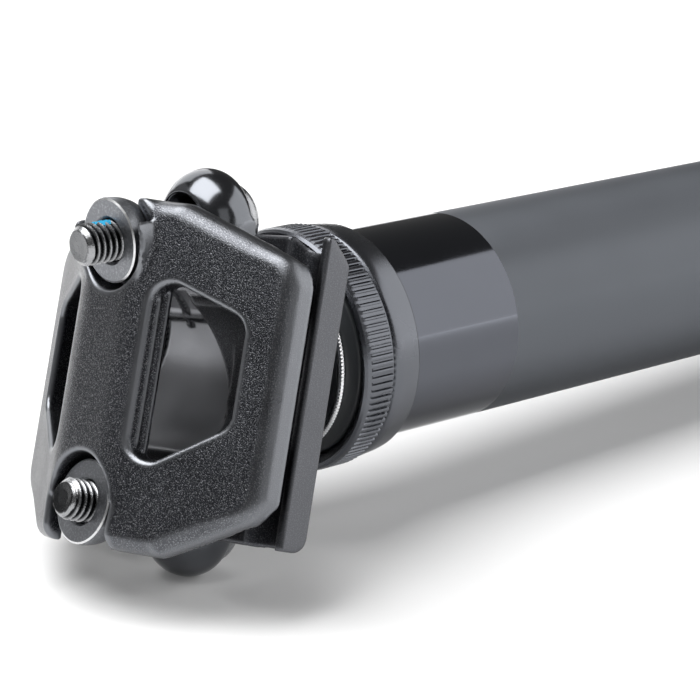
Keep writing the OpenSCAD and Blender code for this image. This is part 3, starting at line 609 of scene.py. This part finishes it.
def ear_profile():
    """The outline that is turned about a bolt to make its ear: radius and height from the ear's top."""
    ear_r, ear_h, belly, heel = 7.8, 7.5, 2.6, 4.2
    crown = (ear_h - belly) / math.sin(math.radians(61))
    low = belly - ear_h
    return ([(-9, 0), (4.9, 0)] + arc(ear_r - crown, low, crown, 60, 0, 10)
            + arc(ear_r - heel, low, heel, -8, -38, 4) + [(-9, -ear_h)])


EAR = ear_profile()


def ear_field(x, y, z, nut, rise):
    """An ear around its bolt, with its top at a height over the nut's face."""
    u, w = unlean(x, z, nut[2], nut[0], nut[1])
    return outline_distance(np.hypot(u, y), w - rise, EAR)


def bolt_room(x, y, z, nut, rise):
    """What is cut away along a bolt: its hole, the mouth, the washer's cup and room for the head."""
    mouth_depth, flare, cup_top, head_top, head_r = 3, 0.45, 6.5, 7.5, 6.85
    u, w = unlean(x, z, nut[2], nut[0], nut[1])
    w = w - rise
    rho = np.hypot(u, y)
    hole = np.maximum(rho - BOLT_HOLE, -w - 9)
    mouth = np.maximum((rho - BOLT_HOLE - (w + mouth_depth) * flare) * 0.91, -w - mouth_depth)
    cup = np.sqrt(rho ** 2 + (w + EAR_RISE + WASHER_SINK) ** 2) - (WASHER_BALL + BALL_GAP)
    below = np.maximum(np.maximum(rho - head_r, w + head_top), -w - 19.5)
    return np.minimum(np.minimum(hole, mouth), np.minimum(np.maximum(cup, w + cup_top), below))


def head_field(x, y, z):
    """The head in the post's axes: a neck, a block with the cradle's seat, and two ears on their webs."""
    half_width, web = 9.7, 6.9
    r = np.hypot(x, y)
    ay = abs(y)
    neck = outline_distance(r, z, [(-20, 13.8), (13.5, 13.8), (14, 14.3), (14, 17), (16, 22), (-20, 22)])
    block = outline_distance(r, z, [(-30, 16), (14, 16), (21, 25), (21, 32.7), (-30, 32.7)])
    block = both(block, np.maximum(ay - half_width, abs(x - 2.0) - 17.7), 1.2)
    body = either(neck, block, 1.5)
    front_ear = ear_field(x, y, z, FRONT_NUT, FRONT_HEAD + EAR_RISE)
    rear_ear = ear_field(x, y, z, REAR_NUT, REAR_HEAD + EAR_RISE)
    front_web = box_distance(x, y, z, (10, -web, 20.0), (20.7, web, 24.9))
    u, w = unlean(x, z, REAR_NUT[2], REAR_NUT[0], REAR_NUT[1])
    rear_web = box_distance(u, y, w, (0, -web, REAR_HEAD + 1.0), (9, web, REAR_HEAD + 5.9))
    body = either(body, either(front_ear, front_web, 1.0), 1.8)
    body = either(body, either(rear_ear, rear_web, 1.0), 1.8)
    body = cut(body, np.hypot(x - TILT[0], z - TILT[1]) - SEAT_R, 0.5)
    # Room beside the seat for the cradle's pad at the end of its tilt
    c, s = math.cos(CLAMP_LEAN + TILT_LIMIT), math.sin(CLAMP_LEAN + TILT_LIMIT)
    flank = np.maximum(-16.4 - (s * (x - TILT[0]) + c * (z - TILT[1])), half_width - ay)
    body = cut(body, flank, 0.4)
    for nut, head in ((FRONT_NUT, FRONT_HEAD), (REAR_NUT, REAR_HEAD)):
        body = cut(body, bolt_room(x, y, z, nut, head + EAR_RISE), 0.35)
    return cut(body, np.maximum(r - STANCHION_R, z - STANCHION_TOP), 0.25)


class SEATPOST_OT_head(bpy.types.Operator):
    """Glossy head with its two bolt ears and the round seat of the cradle"""
    bl_idname = "seatpost.head"
    bl_label = "Post head"

    def execute(self, context):
        points, faces = skin(head_field, (-31.5, -17, 12.5), (30, 17, 40.5), step(context) * 1.1)
        piece("post_head_polished", points, faces, FINISHES["gloss_head"], "upper_post", "gloss_head",
              ["post_head"], sharp=60)
        return {"FINISHED"}


# The top plate in the clamp's axes: x along the spine, y across it, z up from the rails' plane
SPINE_Y, SPINE_Z, WING_Z = 7.65, 15, 13.99   # where the spine's crown ends, its top, and the wing's height there
SLOPE = math.radians(26.4)
WALL = 3                                     # thickness of the wings
ROCK = unlean(TILT[0], TILT[1], CLAMP_LEAN, 0, RAIL_HEIGHT)


def wing(y, depth=0.0):
    """Height of the wing's face at y, or of a face at a depth under it."""
    return WING_Z - depth / math.cos(SLOPE) - (y - SPINE_Y) * math.tan(SLOPE)


CROWN_R = 9.5
CROWN = arc(SPINE_Y - CROWN_R * math.sin(SLOPE), SPINE_Z - CROWN_R, CROWN_R, 90 - 26.4, 90, 6)
TOP = [(-60, -20), (70, -20), (70, wing(70))] + CROWN + [(-60, SPINE_Z)]
UNDER = [(-60, 60), (-60, 11), (5.65, 11), (SPINE_Y, wing(SPINE_Y, WALL)), (70, wing(70, WALL)), (70, 60)]
# Half of the plate and one window, seen from above
OUTLINE = (arc(19.8, 9.5, 3, 0, 20, 3) + arc(12.8, 22, 5, 20, 90, 9) + arc(-15.5, 22, 5, 90, 151, 8)
           + arc(-23.0, 13, 2.8, 151, 180, 4) + [(-25.8, -30), (22.8, -30)])
WINDOW = (arc(8.4, 11.15, 3, 270, 370, 9) + arc(5.6, 18.4, 3, 15, 90, 8) + arc(-5.2, 18.4, 3, 90, 155, 7)
          + arc(-10, 11.15, 3, 160, 270, 9))


def nut_place(x, z, nut):
    """Place in a nut's axes, its ball's middle at the origin, of a point in the clamp's axes."""
    px = math.cos(CLAMP_LEAN) * x + math.sin(CLAMP_LEAN) * z
    pz = RAIL_HEIGHT - math.sin(CLAMP_LEAN) * x + math.cos(CLAMP_LEAN) * z
    u, w = unlean(px, pz, nut[2], nut[0], nut[1])
    return u, w + NUT_FACE


def plate_field(x, y, z):
    """A sloping shell on two rail blocks, with the nuts' bosses, and then its windows, pockets and grooves."""
    boss_r, recess_r, slot_half, ledge = 7.8, 6.8, 3.6, 0.45
    spine_half, ledge_heights, rim_rounding, side_rounding = 8.15, (12.3, 11.1), 2.4, 1.7
    ay = abs(y)
    rim = outline_distance(x, ay, OUTLINE)
    top = outline_distance(ay, z, TOP)
    outer = both(top, rim, np.interp(ay, [20.0, 25.5], [rim_rounding, side_rounding]))
    shell = both(outer, outline_distance(ay, z, UNDER), 0.4)
    block = box_distance(x, ay, z, (-16.7, 16.9, 0.75), (17.9, 40, 12))
    # A fillet bulges where two faces coincide, so each union is trimmed to the outer shape again
    body = np.maximum(either(shell, both(block, outer, 0.8), 1.2), outer)
    for nut in (FRONT_NUT, REAR_NUT):
        u, w = nut_place(x, z, nut)
        boss = np.maximum(np.maximum(np.hypot(u, y) - boss_r, w - 1), -w - 4.6)
        body = np.maximum(either(body, both(boss, rim, 0.6), 0.6), rim)
    step = np.where(z > ledge_heights[0], 0.0, np.where(z > ledge_heights[1], ledge, 2 * ledge))
    window = np.maximum(outline_distance(x, ay, WINDOW), spine_half + step - ay)
    body = cut(body, window, 0.75)
    for end, nut in ((1, FRONT_NUT), (-1, REAR_NUT)):
        u, w = nut_place(x, z, nut)
        rho = np.hypot(u, y)
        way_out = np.maximum(np.maximum(ay - recess_r, -end * u), -w - 2)
        recess = np.maximum(rho - recess_r, -w - 2)
        slot = np.maximum(ay - slot_half, -end * u - 4.4)
        body = cut(body, way_out, 0.9)
        body = cut(body, np.minimum(recess, slot), 0.45)
        body = cut(body, np.sqrt(rho ** 2 + w ** 2) - (NUT_R + BALL_GAP), 0.25)
    return cut(body, np.hypot(ay - RAIL_Y, z) - RAIL_GROOVE, 0.35)


class SEATPOST_OT_top_plate(bpy.types.Operator):
    """Blasted top plate: a spine, two sloping wings with a window each, and the nuts' pockets"""
    bl_idname = "seatpost.top_plate"
    bl_label = "Top plate"

    def execute(self, context):
        points, faces = skin(plate_field, (-27.5, -28, -1), (24.5, 28, 20), step(context))
        # The plate's side wall is lightened as its edges are, as a painted highlight
        side_wall_highlight = np.clip(outline_distance(points[:, 0], abs(points[:, 1]), OUTLINE) + 1.0, 0, 0.8)
        # Lighter where the plate is rounded outwards: rubbing and painted highlight
        wear_and_light = np.maximum(edge_roundness(plate_field, points), side_wall_highlight)
        piece("upper_clamp_blasted", on_clamp(points), faces, FINISHES["blasted_clamp"], "saddle_clamp",
              "blasted_clamp", ["upper_clamp"], sharp=70, wear_and_light=wear_and_light)
        return {"FINISHED"}


# A side strip of the cradle, seen along y in the clamp's axes
FLANK = ([(-22.3, -0.75), (20.7, -0.75), (20.7, -1.75), (18.1, -4.55), (17.3, -5.15)]
         + arc(-20.1, -2.95, 2.2, 270, 180, 7))
TROUGH_R = 13.3


def cradle_field(x, y, z):
    """A round shell and its pad between two side strips, with a bead and a rib in the trough."""
    shell_half, strip_mid, strip_half = 12.3, 18.65, 8.35
    ay = abs(y)
    flank = both(outline_distance(x, z, FLANK), abs(ay - strip_mid) - strip_half, 0.4)
    r = np.hypot(x - ROCK[0], z - ROCK[1])
    ends = np.maximum(abs(x - ROCK[0]) - 13.1, z - 4)
    shell = both(abs(r - 16.0) - 2.7, np.maximum(ends, ay - shell_half), 0.4)
    pad_edge = np.where(ay > shell_half, -1.0, (8.7 - 0.5 * x - ay) / 1.118)
    pad_ends = np.maximum(np.maximum(abs(x - ROCK[0]) - 14, z - 3.2), ay - 16.4)
    pad = both(abs(r - 15.5) - 3.2, np.maximum(pad_ends, pad_edge), 0.5)
    bead = np.maximum(np.hypot(x - 8.5, z - 0.2) - 0.55, ay - 10.5)
    rib = np.maximum(np.maximum(ay - 0.65, 12.9 - r), np.maximum(abs(x - 9.3) - 2.3, r - 15))
    body = either(either(flank, shell, 0.6), pad, 0.5)
    body = either(either(body, bead, 0.5), rib, 0.2)
    return cut(body, np.hypot(ay - RAIL_Y, z) - RAIL_GROOVE, 0.35)


class SEATPOST_OT_cradle(bpy.types.Operator):
    """Lower half of the rail clamp: a round trough between two side strips"""
    bl_idname = "seatpost.cradle"
    bl_label = "Lower cradle"

    def execute(self, context):
        points, faces = skin(cradle_field, (-23, -28, -9), (21.5, 28, 5), step(context))
        radius = np.hypot(points[:, 0] - ROCK[0], points[:, 2] - ROCK[1])
        bored = (abs(radius - TROUGH_R) < 0.25) & (abs(points[:, 1]) < 12)
        side = np.clip((abs(points[:, 1]) - 26.2) / 0.6, 0, 1)
        # The bored trough and ground sides take the grey finish; the rounded edges a share of it, as painted
        # highlight and rubbing
        edge_highlight_share, side_share = 0.2, 0.34
        wear_and_light = np.maximum(np.where(bored, 1.0, edge_highlight_share * edge_roundness(cradle_field, points)), side_share * side)
        piece("lower_cradle_satin", on_clamp(points), faces, FINISHES["machined_cradle"], "saddle_clamp",
              "machined_cradle", ["lower_cradle"], sharp=70, wear_and_light=wear_and_light)
        return {"FINISHED"}


NUT_RIM = [(5.72, 0.0), (5.97, -0.16)]   # the chamfer round a nut's face


def nut_shape():
    """A nut in its own axes: a flat face with a chamfer on a ball-shaped body, and its bore."""
    side = [(math.sqrt(NUT_R ** 2 - (z + NUT_FACE) ** 2), z) for z in np.linspace(-0.3, -4.75, 12)]
    return lathe([(3.15, -4.9), (3.15, -0.35), (3.5, 0.0)] + NUT_RIM + side + [(4.15, -5.0), (3.3, -5.0)], 128,
                 closed=True)


def worn_and_lit_rim(points, over):
    """A skin a few hundredths of a millimetre thick over a chamfer, where the black has rubbed off and where a
    painted highlight stands for the light the chamfer catches.
    """
    (r0, z0), (r1, z1) = points
    sunk = 0.03
    return lathe([(r0, z0 - sunk), (r0, z0 + over), (r1 + 0.01, z1 + 0.01), (r1 - 0.02, z1 - sunk)], 160,
                 closed=True)


class SEATPOST_OT_nuts(bpy.types.Operator):
    """Round nuts let into the top plate"""
    bl_idname = "seatpost.nuts"
    bl_label = "Nuts"

    def execute(self, context):
        for name, nut in (("front_nut", FRONT_NUT), ("rear_nut", REAR_NUT)):
            points, faces = nut_shape()
            piece(name + "_round", on_bolt(points, nut), faces, FINISHES["nut_steel"], name, "nut_steel", [name],
                  sharp=28)
            # A bright skin over each nut's chamfer: rubbed bare steel and painted highlight
            points, faces = worn_and_lit_rim(NUT_RIM, context.scene.seatpost_sizes.worn_edge / MM)
            piece(name + "_worn_and_lit_rim", on_bolt(points, nut), faces, FINISHES["worn_edge"], name, "nut_steel", [])
        return {"FINISHED"}


THREAD_CHAMFER, THREAD_DISH = 0.75, 0.12   # of a bolt's end


def threaded(top, bottom, start, depth):
    """A bolt's threaded end from bottom up to top, as a grid sheared to follow the helix."""
    turns, pitch, rows, overrun = 48, 1.0, 10, 3.2
    shoulder, slope = 0.12, 0.95
    count = int((top - bottom + overrun) / pitch * rows)
    j, i = np.meshgrid(np.arange(turns), np.arange(count))
    phase = (i % rows) / rows
    groove = np.interp(phase, [0, 0.12, 0.45, 0.6, 0.95, 1.0], [0, 0, 1, 1, 0, 0])
    s = bottom + pitch * (i / rows + j / turns + start)
    over = np.maximum(s - top, 0)
    z = np.minimum(s, top)
    r = BOLT_R - depth * groove
    r = np.minimum(r, BOLT_R - shoulder - (z - (top - THREAD_CHAMFER)) * slope)
    r = np.where(over > 0, np.maximum(BOLT_R - shoulder - THREAD_CHAMFER * slope - over, 0), r)
    z = np.where(over > 0, top - THREAD_DISH * np.minimum(over, 1), z)
    a = 2 * math.pi * j / turns
    points = np.stack([r * np.cos(a), r * np.sin(a), z], 2).reshape(-1, 3)
    faces = []
    for row in range(count - 1):
        this, after = row * turns, (row + 1) * turns
        faces += [(this + k, this + k + 1, after + k + 1, after + k) for k in range(turns - 1)]
        # The last column joins the first one a pitch higher
        if row + 1 + rows < count:
            faces.append((this + turns - 1, this + rows * turns, after + rows * turns, after + turns - 1))
    return points, faces


def button_head():
    """Shank and button head with its hex socket, z up from under the head."""
    turns, socket_half, socket_floor, head_top = 96, 2.0, -0.55, -2.8
    outer = [(BOLT_R, 12.5), (BOLT_R, 0.1), (3.05, 0.0), (5.05, 0.0), (5.25, -0.15), (5.25, -0.65), (5.1, -1.1),
             (4.75, -1.6), (4.1, -2.2), (3.3, -2.65), (2.7, head_top), (2.45, head_top)]
    points, faces = lathe(outer, turns)
    a = np.linspace(0, 2 * math.pi, turns, endpoint=False)
    flat = socket_half / np.cos((a + math.pi / 6) % (math.pi / 3) - math.pi / 6)
    last = len(points) - turns
    rings = [(flat, head_top), (flat - 0.02, socket_floor), (np.full(turns, 0.02), -0.3)]
    for number, (r, z) in enumerate(rings):
        points = np.concatenate([points, np.stack([r * np.cos(a), r * np.sin(a), np.full(turns, z)], 1)])
        faces += ring_of_quads(last + turns * number, last + turns * (number + 1), turns)
    return points, faces


class SEATPOST_OT_bolts(bpy.types.Operator):
    """M6 bolts with their threads, and the ball washers under their heads"""
    bl_idname = "seatpost.bolts"
    bl_label = "Bolts and washers"

    def execute(self, context):
        depth = context.scene.seatpost_sizes.thread_depth / MM
        washer_bore, washer_r, gap, thread_foot, thread_root = 3.1, 5.85, 0.06, -6.5, 2.4
        # For each bolt, where its thread starts round it, and how rubbed its end is
        for name, nut, top, head, start, end_wear in (("front", FRONT_NUT, FRONT_TOP, FRONT_HEAD, 0.3, 0.62),
                                                      ("rear", REAR_NUT, REAR_TOP, REAR_HEAD, 0.1, 0.4)):
            under_head = np.array([0, 0, head])
            shank, faces = button_head()
            points, faces = joined((shank + under_head, faces), threaded(top, thread_foot, start, depth))
            crest = (np.hypot(points[:, 0], points[:, 1]) - thread_root) / (BOLT_R - thread_root)
            # The crests and the end's chamfer take the light colour, as rubbing and painted highlight; the roots the
            # dark one, as painted shade
            wear_and_light = np.where(points[:, 2] > top - THREAD_CHAMFER, 1.0, np.clip(crest, 0, 1))
            wear_and_light = np.where(points[:, 2] > top - THREAD_DISH - 0.01, end_wear, wear_and_light)
            piece(name + "_bolt_threaded", on_bolt(points, nut), faces, FINISHES[name + "_thread"], name + "_bolt",
                  "bolt_steel", [name + "_bolt"], sharp=40, wear_and_light=wear_and_light)
            dome = [(r, math.sqrt(WASHER_BALL ** 2 - r * r) - WASHER_SINK)
                    for r in np.linspace(washer_r, washer_bore, 10)]
            points, faces = lathe([(washer_bore, gap), (5.7, gap), (washer_r, 0.2)] + dome, 96, closed=True)
            piece(name + "_washer_domed", on_bolt(points + under_head, nut), faces, FINISHES["bolt_steel"],
                  name + "_washer", "bolt_steel", [name + "_washer"])
        return {"FINISHED"}


# Softboxes and cards: name, direction, distance, width and height in metres, and radiance
LAMPS = [("top_softbox", (-0.03, -0.32, 0.95), 1.1, 1.05, 1.05, 6.0),
         ("side_softbox", (0.604, 0.72, 0.342), 1.2, 1.7, 1.15, 1.75),
         ("back_softbox", (-0.755, 0.267, 0.6), 1.2, 0.8, 0.8, 1.8),
         ("left_reflector", (-0.93, 0.33, 0.15), 1.2, 0.6, 0.5, 1.6),
         ("front_card", (-0.72, -0.65, 0.3), 1.2, 1.5, 1.4, 0.25),
         ("right_card", (0.93, -0.3, 0.2), 1.2, 0.6, 0.8, 0.5)]
LIT_PLACE = Vector((0, -0.03, 0))
ROOM_LIGHT = 0.11
FLOOR_UP = Vector((0.143, -0.0436, 0.99))
# The camera's axes and place, which the photograph's perspective gives
CAMERA_RIGHT, CAMERA_UP = (0.65344, 0.75107, -0.09443), (-0.05671, 0.17297, 0.98329)
CAMERA_BACK, CAMERA_PLACE = (0.75485, -0.63717, 0.15562), (0.31064, -0.26092, 0.06199)


class SEATPOST_OT_stage(bpy.types.Operator):
    """Pale floor, soft studio lights and the camera"""
    bl_idname = "seatpost.stage"
    bl_label = "Stage"

    def execute(self, context):
        scene = context.scene
        self.make_floor(scene)
        self.make_lights(scene)
        self.make_camera(scene)
        return {"FINISHED"}

    def make_floor(self, scene):
        """A wide floor of paper, as steep to the post as in the photograph."""
        size = scene.seatpost_sizes.floor_size
        up = FLOOR_UP.normalized()
        side = up.cross(Vector((0, 1, 0))).normalized()
        far = side.cross(up)
        mid = up * -scene.seatpost_sizes.floor_drop
        corners = [mid + side * a * size + far * b * size for a, b in ((-1, -1), (1, -1), (1, 1), (-1, 1))]
        mesh = bpy.data.meshes.new("floor")
        mesh.from_pydata(corners, [], [(0, 1, 2, 3)])
        floor = bpy.data.objects.new("floor", mesh)
        scene.collection.objects.link(floor)
        # Paper, matt, with a painted glow that grows away from the post: it lifts the soft shadows near the post and
        # fades the floor to white far off
        made, tree, shader, place = new_finish("white_paper_with_painted_glow")
        shader.inputs["Base Color"].default_value = scene.seatpost_colours.floor
        shader.inputs["Roughness"].default_value = 0.7
        distance = add(tree, "ShaderNodeVectorMath", {"operation": "LENGTH"}, {0: place}).outputs["Value"]
        glow = add(tree, "ShaderNodeMapRange", {"From Min": 0.12, "From Max": 0.7, "To Min": 0.06, "To Max": 0.85},
                   {"Value": distance})
        shader.inputs["Emission Color"].default_value = linear("#ffffff")
        tree.links.new(glow.outputs["Result"], shader.inputs["Emission Strength"])
        mesh.materials.append(made)

    def make_lights(self, scene):
        """The softboxes and cards, each facing the clamp, and an even light from all round."""
        for name, toward, distance, width, height, radiance in LAMPS:
            data = bpy.data.lights.new(name, "AREA")
            data.shape, data.size, data.size_y = "RECTANGLE", width, height
            data.energy = radiance * math.pi * width * height
            lamp = bpy.data.objects.new(name, data)
            direction = Vector(toward).normalized()
            lamp.location = direction * distance + LIT_PLACE
            lamp.rotation_euler = direction.to_track_quat("Z", "Y").to_euler()
            scene.collection.objects.link(lamp)
        scene.world = bpy.data.worlds.new("studio")
        scene.world.use_nodes = True
        room = scene.world.node_tree.nodes["Background"]
        room.inputs["Color"].default_value = linear("#ffffff")
        room.inputs["Strength"].default_value = ROOM_LIGHT

    def make_camera(self, scene):
        """A camera where the photograph was taken from, with its long lens."""
        data = bpy.data.cameras.new("photo_camera")
        data.lens, data.sensor_width, data.clip_end = 141.43, 36.0, 50.0
        camera = bpy.data.objects.new("photo_camera", data)
        rows = zip(CAMERA_RIGHT, CAMERA_UP, CAMERA_BACK, CAMERA_PLACE)
        camera.matrix_world = Matrix([*rows, (0, 0, 0, 1)])
        scene.collection.objects.link(camera)
        scene.camera = camera
        scene.view_settings.view_transform = "Standard"


class SEATPOST_OT_carried_over(bpy.types.Operator):
    """The solids that stay as they are, each with its own finish"""
    bl_idname = "seatpost.carried_over"
    bl_label = "Carried-over solids"

    def execute(self, context):
        for part in frame["record"]["subparts"]:
            node = frame["nodes"][part["node"]]
            node.data.materials.clear()
            node.data.materials.append(FINISHES[part["material_slot"]])
        return {"FINISHED"}


class SEATPOST_OT_finishes(bpy.types.Operator):
    """Makes every finish from the colours chosen in the panel"""
    bl_idname = "seatpost.finishes"
    bl_label = "Finishes"

    def execute(self, context):
        make_finishes(context.scene.seatpost_colours)
        return {"FINISHED"}


OPERATORS = [SEATPOST_OT_stage, SEATPOST_OT_finishes, SEATPOST_OT_carried_over, SEATPOST_OT_outer_tube,
             SEATPOST_OT_collar, SEATPOST_OT_stanchion, SEATPOST_OT_head, SEATPOST_OT_cradle, SEATPOST_OT_top_plate,
             SEATPOST_OT_nuts, SEATPOST_OT_bolts]


class SEATPOST_PT_pieces(bpy.types.Panel):
    """Lists the seatpost's sizes, colours and pieces"""
    bl_idname = "SEATPOST_PT_pieces"
    bl_label = "Dropper seatpost"
    bl_space_type = "VIEW_3D"
    bl_region_type = "UI"
    bl_category = "Seatpost"

    def draw(self, context):
        for group in (context.scene.seatpost_sizes, context.scene.seatpost_colours):
            column = self.layout.column()
            for key in group.__annotations__:
                column.prop(group, key)
        column = self.layout.column()
        for operator in OPERATORS:
            column.operator(operator.bl_idname)


CLASSES = [SEATPOST_PG_sizes, SEATPOST_PG_colours] + OPERATORS + [SEATPOST_PT_pieces]


def register():
    for made in CLASSES:
        bpy.utils.register_class(made)
    bpy.types.Scene.seatpost_sizes = bpy.props.PointerProperty(type=SEATPOST_PG_sizes)
    bpy.types.Scene.seatpost_colours = bpy.props.PointerProperty(type=SEATPOST_PG_colours)


def unregister():
    del bpy.types.Scene.seatpost_colours
    del bpy.types.Scene.seatpost_sizes
    for made in reversed(CLASSES):
        bpy.utils.unregister_class(made)


def main():
    """Builds the whole scene."""
    register()
    for operator in OPERATORS:
        group, name = operator.bl_idname.split(".")
        getattr(getattr(bpy.ops, group), name)()


if __name__ == "__main__":
    main()
